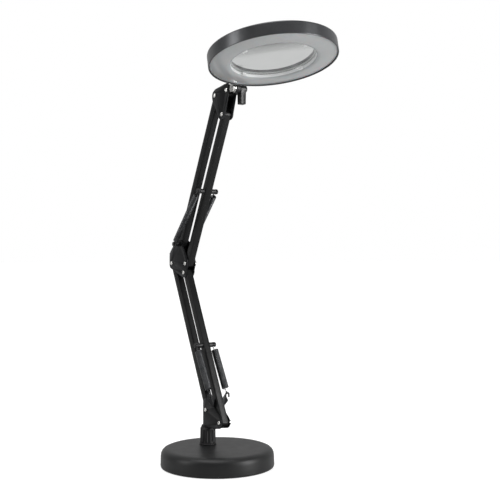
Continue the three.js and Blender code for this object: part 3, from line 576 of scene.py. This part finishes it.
def thread(radius, low, high):
    """Profile points of a threaded length, as fine ridges."""
    count = max(1, int((high - low) / THREAD_PITCH))
    root = radius - THREAD_DEPTH
    points = []
    for k in range(count):
        start = low + k * THREAD_PITCH
        points += [(root, start + 0.1 * THREAD_PITCH, 0), (radius, start + 0.5 * THREAD_PITCH, 0),
                   (root, start + 0.9 * THREAD_PITCH, 0)]
    return points


def screw(name):
    """A pivot screw with a small round recess in its domed head."""
    low, high = (edge.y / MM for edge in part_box(name))
    head = low + HEAD_THICKNESS
    points = cornered(
        (0, low + 0.6, 0), (0.75, low + 0.55, 0.1), (0.95, low + 0.1, 0.1), (1.7, low, 0.5),
        (2.65, low + 0.5, 0.5), (HEAD_RADIUS, head, 0.15), (SCREW_RADIUS, head, 0),
        (SCREW_RADIUS, high - THREAD_LENGTH, 0),
        *thread(SCREW_RADIUS, high - THREAD_LENGTH, high - 0.3), (1.8, high, 0), (0, high, 0))
    piece(name + "_turned", turned(points, along_y(centre(name)), 40), nickel, name)


def nut(name, radius):
    """A hexagon nut with rounded edges, without a hole, because the screw fills it."""
    low, high = (edge.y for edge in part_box(name))
    outline = []
    for k in range(6):
        a, b = math.pi / 3 * k, math.pi / 3 * (k + 1)
        start = Vector((math.cos(a), math.sin(a))) * radius * MM
        end = Vector((math.cos(b), math.sin(b))) * radius * MM
        outline += [start.lerp(end, t) for t in (0.04, 0.35, 0.65, 0.96)]
    piece(name + "_hex", slab(outline, low, high, 0.4 * MM, along_y(centre(name))), nickel, name)


for name in sorted(n.removesuffix("_screw") for n in nodes if n.endswith("_screw")):
    screw(name + "_screw")
    nut(name + "_nut", NUT_RADIUS)
nut("tilt_nut", TILT_NUT_RADIUS)

rivet = centre("bracket_rivet")
piece("rivet_turned", turned(cornered(
    (0, -7.9, 0), (1.0, -7.9, 0.2), (1.5, -8.1, 0.2), (2.55, -7.6, 0.6), (2.8, -6.8, 0.2),
    (SCREW_RADIUS, -6.8, 0), (SCREW_RADIUS, 6.3, 0.1), (2.0, 6.5, 0.1), (0, 6.5, 0),
), along_y(rivet), 40), nickel, "bracket_rivet")
piece("spacer_turned", turned(cornered(
    (2.5, -5.2, 0.1), (3.2, -5.2, 0.3), (3.2, 5.2, 0.3), (2.5, 5.2, 0.1),
), along_y(rivet), 40, closed=True), black_plastic, "rivet_spacer")
piece("tilt_washer_turned", turned(cornered(
    (3.2, -2.3, 0.1), (6, -2.3, 0.25), (6, -1.3, 0.25), (3.2, -1.3, 0.1),
), along_y(PIVOT["head_tilt"]), 56, closed=True), nickel, "tilt_washer")
stud_low, stud_high = (edge.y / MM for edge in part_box("tilt_stud"))
piece("tilt_stud_turned", turned(cornered(
    (0, stud_low, 0), (2.4, stud_low, 0.3), *thread(STUD_RADIUS, stud_low + 0.5, 5),
    (STUD_RADIUS, 6.5, 0), (STUD_RADIUS, stud_high, 0.2), (0, stud_high, 0),
), along_y(PIVOT["head_tilt"]), 40), nickel, "tilt_stud")


# ---------- springs ----------
WIRE_RADIUS = 0.5 * MM
HOOK = 8 * MM  # from the end of the coil to the middle of the upper eye
TURN_STEPS = 14
EYE_STEPS = 14
EYE_SWEEP = 1.45 * math.pi
PIN_EYE = 3.2 * MM
EAR_EYE = 1.65 * MM
EAR_X = 2.3
EAR_Z = 95.4
LOWER_COIL = (55 * MM, 4.8 * MM)  # length and outer radius
UPPER_COIL = (81 * MM, 4 * MM)


def spring(name, low, low_eye, high, high_eye, size):
    """A close-wound extension spring between two eyes, low on one body and high on the other."""
    coil, outer = size
    coil_radius = outer - WIRE_RADIUS
    axis = (high - low).normalized()
    across = Vector((axis.z, 0, -axis.x))
    side = Vector((0, 1, 0))
    span = (high - low).length
    start = span - HOOK - coil
    turns = round(coil / (2.12 * WIRE_RADIUS))

    def at(along, out, y=0.0):
        return low + axis * along + across * out + side * y

    def eye(middle, radius, direction):
        """Points round the pin, from the side of the coil and on past the top."""
        points = []
        for k in range(EYE_STEPS + 1):
            angle = math.pi - EYE_SWEEP * k / EYE_STEPS
            points.append(at(middle + direction * radius * math.sin(angle), radius * math.cos(angle)))
        return points

    path = list(reversed(eye(0, low_eye, -1)))
    path += [at(start * t, -low_eye * (1 - t)) for t in (0.25, 0.5, 0.75)]
    path.append(at(start - 0.4 * MM, -coil_radius * 0.75, -0.6 * MM))
    for k in range(turns * TURN_STEPS + 1):
        angle = math.pi + 2 * math.pi * k / TURN_STEPS
        along = start + coil * k / (turns * TURN_STEPS)
        path.append(at(along, coil_radius * math.cos(angle), coil_radius * math.sin(angle)))
    path.append(at(start + coil + 0.8 * MM, -coil_radius * 0.8, 0.5 * MM))
    path += [at(start + coil + HOOK * t, -high_eye * t) for t in (0.35, 0.55, 0.75)]
    path += eye(span, high_eye, 1)
    obj = piece(name + "_coil", wire(path, WIRE_RADIUS), spring_steel, name, sharp=75)
    obj.parent = None
    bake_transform(obj)


def pin_at(node, y):
    """The middle of a cross pin's groove, y millimetres to the side."""
    point = centre(node)
    point.y = y * MM
    return point


for side, hand in ((-1, "left"), (1, "right")):
    y = side * LOWER_SPRING_Y
    spring(f"lower_spring_{hand}", Vector((EAR_X, y, EAR_Z)) * MM, EAR_EYE,
           pin_at("lower_crossbar", y), PIN_EYE, LOWER_COIL)
    y = side * UPPER_SPRING_Y
    spring(f"upper_spring_{hand}", pin_at("elbow_cross_pin", y), PIN_EYE,
           pin_at("upper_crossbar", y), PIN_EYE, UPPER_COIL)

# ---------- head ----------
RING_TILT = math.radians(11.93)
RING_REACH = Vector((84.8, 0, 18.9)) * MM  # from the tilt pivot to the middle of the ring's underside
RING_RADIUS = 79.6
RING_TOP = 16
RING_INSIDE = 14.7  # underside of the ring's top
OPENING = 50.3
ring_origin = PIVOT["head_tilt"] + RING_REACH
ring_matrix = Matrix.Translation(ring_origin) @ Matrix.Rotation(-RING_TILT, 4, "Y")


def on_ring(x, y, z):
    """Local z is the ring's axis, from the underside up."""
    return ring_matrix @ Vector((x, y, z))


ring_shell = piece("ring_shell", turned(cornered(
    (RING_RADIUS - 1.3, 0, 0.2), (RING_RADIUS - 0.3, 0, 0.2), (RING_RADIUS, 0.5, 0.3),
    (RING_RADIUS, 14.4, 0.4), (RING_RADIUS - 0.4, 15.6, 0.5), (78.0, RING_TOP, 0.6),
    (66, RING_TOP, 0.2), (65.6, RING_TOP - 0.25, 0.2), (65.0, RING_TOP, 0.2), (51.2, RING_TOP, 0.6),
    (OPENING, 15.2, 0.5), (OPENING, 9.6, 0), (54.3, 9.6, 0), (54.3, 2, 0), (56.1, 2, 0.2),
    (56.1, RING_INSIDE, 0), (RING_RADIUS - 1.3, RING_INSIDE, 0),
), on_ring, 192, closed=True), ring_finish, "head_housing")
diffuser_dish = piece("diffuser_dish", turned(cornered(
    (52.3, 4.9, 0.1), (52.3, 0.6, 2.2), (55.5, -0.9, 2.4), (65, -0.3, 3), (78, 1.4, 0.4),
    (78, 3.0, 0.2), (65, 1.5, 3), (53.9, 1.2, 0.1), (53.9, 4.9, 0.1),
), on_ring, 192, closed=True), frosted, "diffuser")


def paint_seat(obj, reach, low, high):
    """Gives the faces within reach of the ring's axis, between two heights, the pale plastic with its painted
    glow.
    """
    to_ring = ring_matrix.inverted()
    obj.data.materials.append(pale_plastic_painted_glow)
    for face in obj.data.polygons:
        place = (to_ring @ face.center) / MM
        if place.xy.length < reach and low < place.z < high:
            face.material_index = 1


# The inner tubes of the ring and of the diffuser get the pale plastic with its painted glow.
paint_seat(ring_shell, 56.4, 1, 9.8)
paint_seat(diffuser_dish, 52.6, 1.5, 6)


def lens_profile():
    """A biconvex lens: two shallow domes on an edge of even thickness."""
    edge = 53.9
    sag = 1.5
    bottom = 5.6
    top = 8.6
    curve = (edge ** 2 + sag ** 2) / (2 * sag)
    half = math.asin(edge / curve)
    steps = 28
    under, over = [], []
    for k in range(steps + 1):
        angle = half * k / steps
        radius = curve * math.sin(angle)
        drop = curve * (1 - math.cos(angle))
        under.append((radius, bottom - sag + drop, 0))
        over.append((radius, top + sag - drop, 0))
    return cornered(*under, *reversed(over))


piece("lens_glass", turned(lens_profile(), on_ring, 160), glass, "lens", sharp=30)
# The lens tabs get the same pale plastic with its painted glow.
for i in range(1, 5):
    piece(f"lens_tab_{i}", softened(f"lens_clip_{i}", 0.35 * MM, 3), pale_plastic_painted_glow, f"lens_clip_{i}")
piece("neck_body", softened("head_neck", 0.45 * MM, 3), black_plastic, "head_neck")
piece("knob_body", softened("wing_knob", 0.5 * MM, 3), knob_plastic, "wing_knob")
piece("cable_bush", softened("cable_grommet", 0.25 * MM, 2), rubber, "cable_grommet")

# ---------- finishes of the CAD nodes that stay ----------
for node, material in {
    "base_weight": cast_iron, "base_plate": steel_paint, "base_socket": dark_steel,
    "plate_screw_1": dark_steel, "plate_screw_2": dark_steel, "plate_screw_3": dark_steel,
    "neck_screw_1": dark_steel, "neck_screw_2": dark_steel, "led_board": board_white,
}.items():
    nodes[node].data.materials.clear()
    nodes[node].data.materials.append(material)

# ---------- floor and light ----------
FLOOR_HALF = 40.0
FLOOR_GLOW = 0.12
FLOOR_GLOW_SEEN = 0.72  # for the camera, so that the floor is as white as the screen behind it

corners = [(FLOOR_HALF * x, FLOOR_HALF * y, 0) for x, y in ((-1, -1), (1, -1), (1, 1), (-1, 1))]
floor_mesh = bpy.data.meshes.new("floor")
floor_mesh.from_pydata(corners, [], [(0, 1, 2, 3)])
floor = bpy.data.objects.new("floor", floor_mesh)
bpy.context.scene.collection.objects.link(floor)
floor_graph = Graph("floor")
floor_tone = floor_graph.blend(floor_graph.noise(3, 2), (0.46, 0.46, 0.46), (0.48, 0.48, 0.48))
floor_graph.finish(floor_tone, floor_graph.spread(floor_graph.noise(8, 2), 0.8, 0.9))
floor_graph.set(Specular_IOR_Level=0.0, Emission_Color=(1, 1, 1, 1))
direct = floor_graph.node("ShaderNodeLightPath").outputs["Is Camera Ray"]
glow = floor_graph.spread(direct, FLOOR_GLOW, FLOOR_GLOW_SEEN, 0, 1)
floor_graph.link(glow, floor_graph.shader.inputs["Emission Strength"])
floor_mesh.materials.append(floor_graph.material)

ROOM = (0.10, 0.10, 0.10)  # the dim studio beside and behind the camera
SCREEN = (0.56, 0.56, 0.56)  # the white screen behind the lamp

world = bpy.data.worlds.new("studio")
bpy.context.scene.world = world
world.use_nodes = True
tree = world.node_tree
away = Vector((-math.sin(CAMERA_AZIMUTH), math.cos(CAMERA_AZIMUTH), 0.25)).normalized()
direction = tree.nodes.new("ShaderNodeTexCoord").outputs["Generated"]
facing = tree.nodes.new("ShaderNodeVectorMath")
facing.operation = "DOT_PRODUCT"
facing.inputs[1].default_value = away
tree.links.new(direction, facing.inputs[0])
fade = tree.nodes.new("ShaderNodeMapRange")
fade.interpolation_type = "SMOOTHSTEP"
fade.inputs["From Min"].default_value = 0.15
fade.inputs["From Max"].default_value = 0.75
tree.links.new(facing.outputs["Value"], fade.inputs["Value"])
studio = tree.nodes.new("ShaderNodeMix")
studio.data_type = "RGBA"
studio.inputs["A"].default_value = (*ROOM, 1)
studio.inputs["B"].default_value = (*SCREEN, 1)
tree.links.new(fade.outputs["Result"], studio.inputs["Factor"])
background = tree.nodes["Background"]
tree.links.new(studio.outputs["Result"], background.inputs["Color"])
backdrop = tree.nodes.new("ShaderNodeBackground")
backdrop.inputs["Color"].default_value = (1, 1, 1, 1)
chooser = tree.nodes.new("ShaderNodeMixShader")
rays = tree.nodes.new("ShaderNodeLightPath")
tree.links.new(rays.outputs["Is Camera Ray"], chooser.inputs["Fac"])
tree.links.new(background.outputs[0], chooser.inputs[1])
tree.links.new(backdrop.outputs[0], chooser.inputs[2])
tree.links.new(chooser.outputs[0], tree.nodes["World Output"].inputs["Surface"])

CEILING_STRENGTH = 1.9
CEILING_SPREAD = math.radians(50)
CEILING_LEAN = (math.radians(12), math.radians(8), 0)

ceiling_data = bpy.data.lights.new("ceiling", "SUN")
ceiling_data.energy = CEILING_STRENGTH
ceiling_data.angle = CEILING_SPREAD
ceiling = bpy.data.objects.new("ceiling", ceiling_data)
ceiling.rotation_euler = CEILING_LEAN
bpy.context.scene.collection.objects.link(ceiling)

AIM = Vector((0, 0, 0.3))  # the point that the softboxes face


def softbox(name, azimuth, height, distance, width, tall, power):
    """A rectangular lamp round the object; azimuth is in degrees, measured like the camera's."""
    data = bpy.data.lights.new(name, "AREA")
    data.shape = "RECTANGLE"
    data.size, data.size_y = width, tall
    data.energy = power
    box = bpy.data.objects.new(name, data)
    angle = math.radians(azimuth)
    box.location = (distance * math.sin(angle), -distance * math.cos(angle), height)
    box.rotation_euler = (AIM - box.location).to_track_quat("-Z", "Y").to_euler()
    bpy.context.scene.collection.objects.link(box)


softbox("left_box", azimuth=-11.5, height=0.75, distance=1.6, width=0.3, tall=1.2, power=9)
softbox("right_box", azimuth=121.5, height=0.55, distance=1.7, width=0.5, tall=1.2, power=26)

bpy.context.scene.view_settings.view_transform = "Standard"
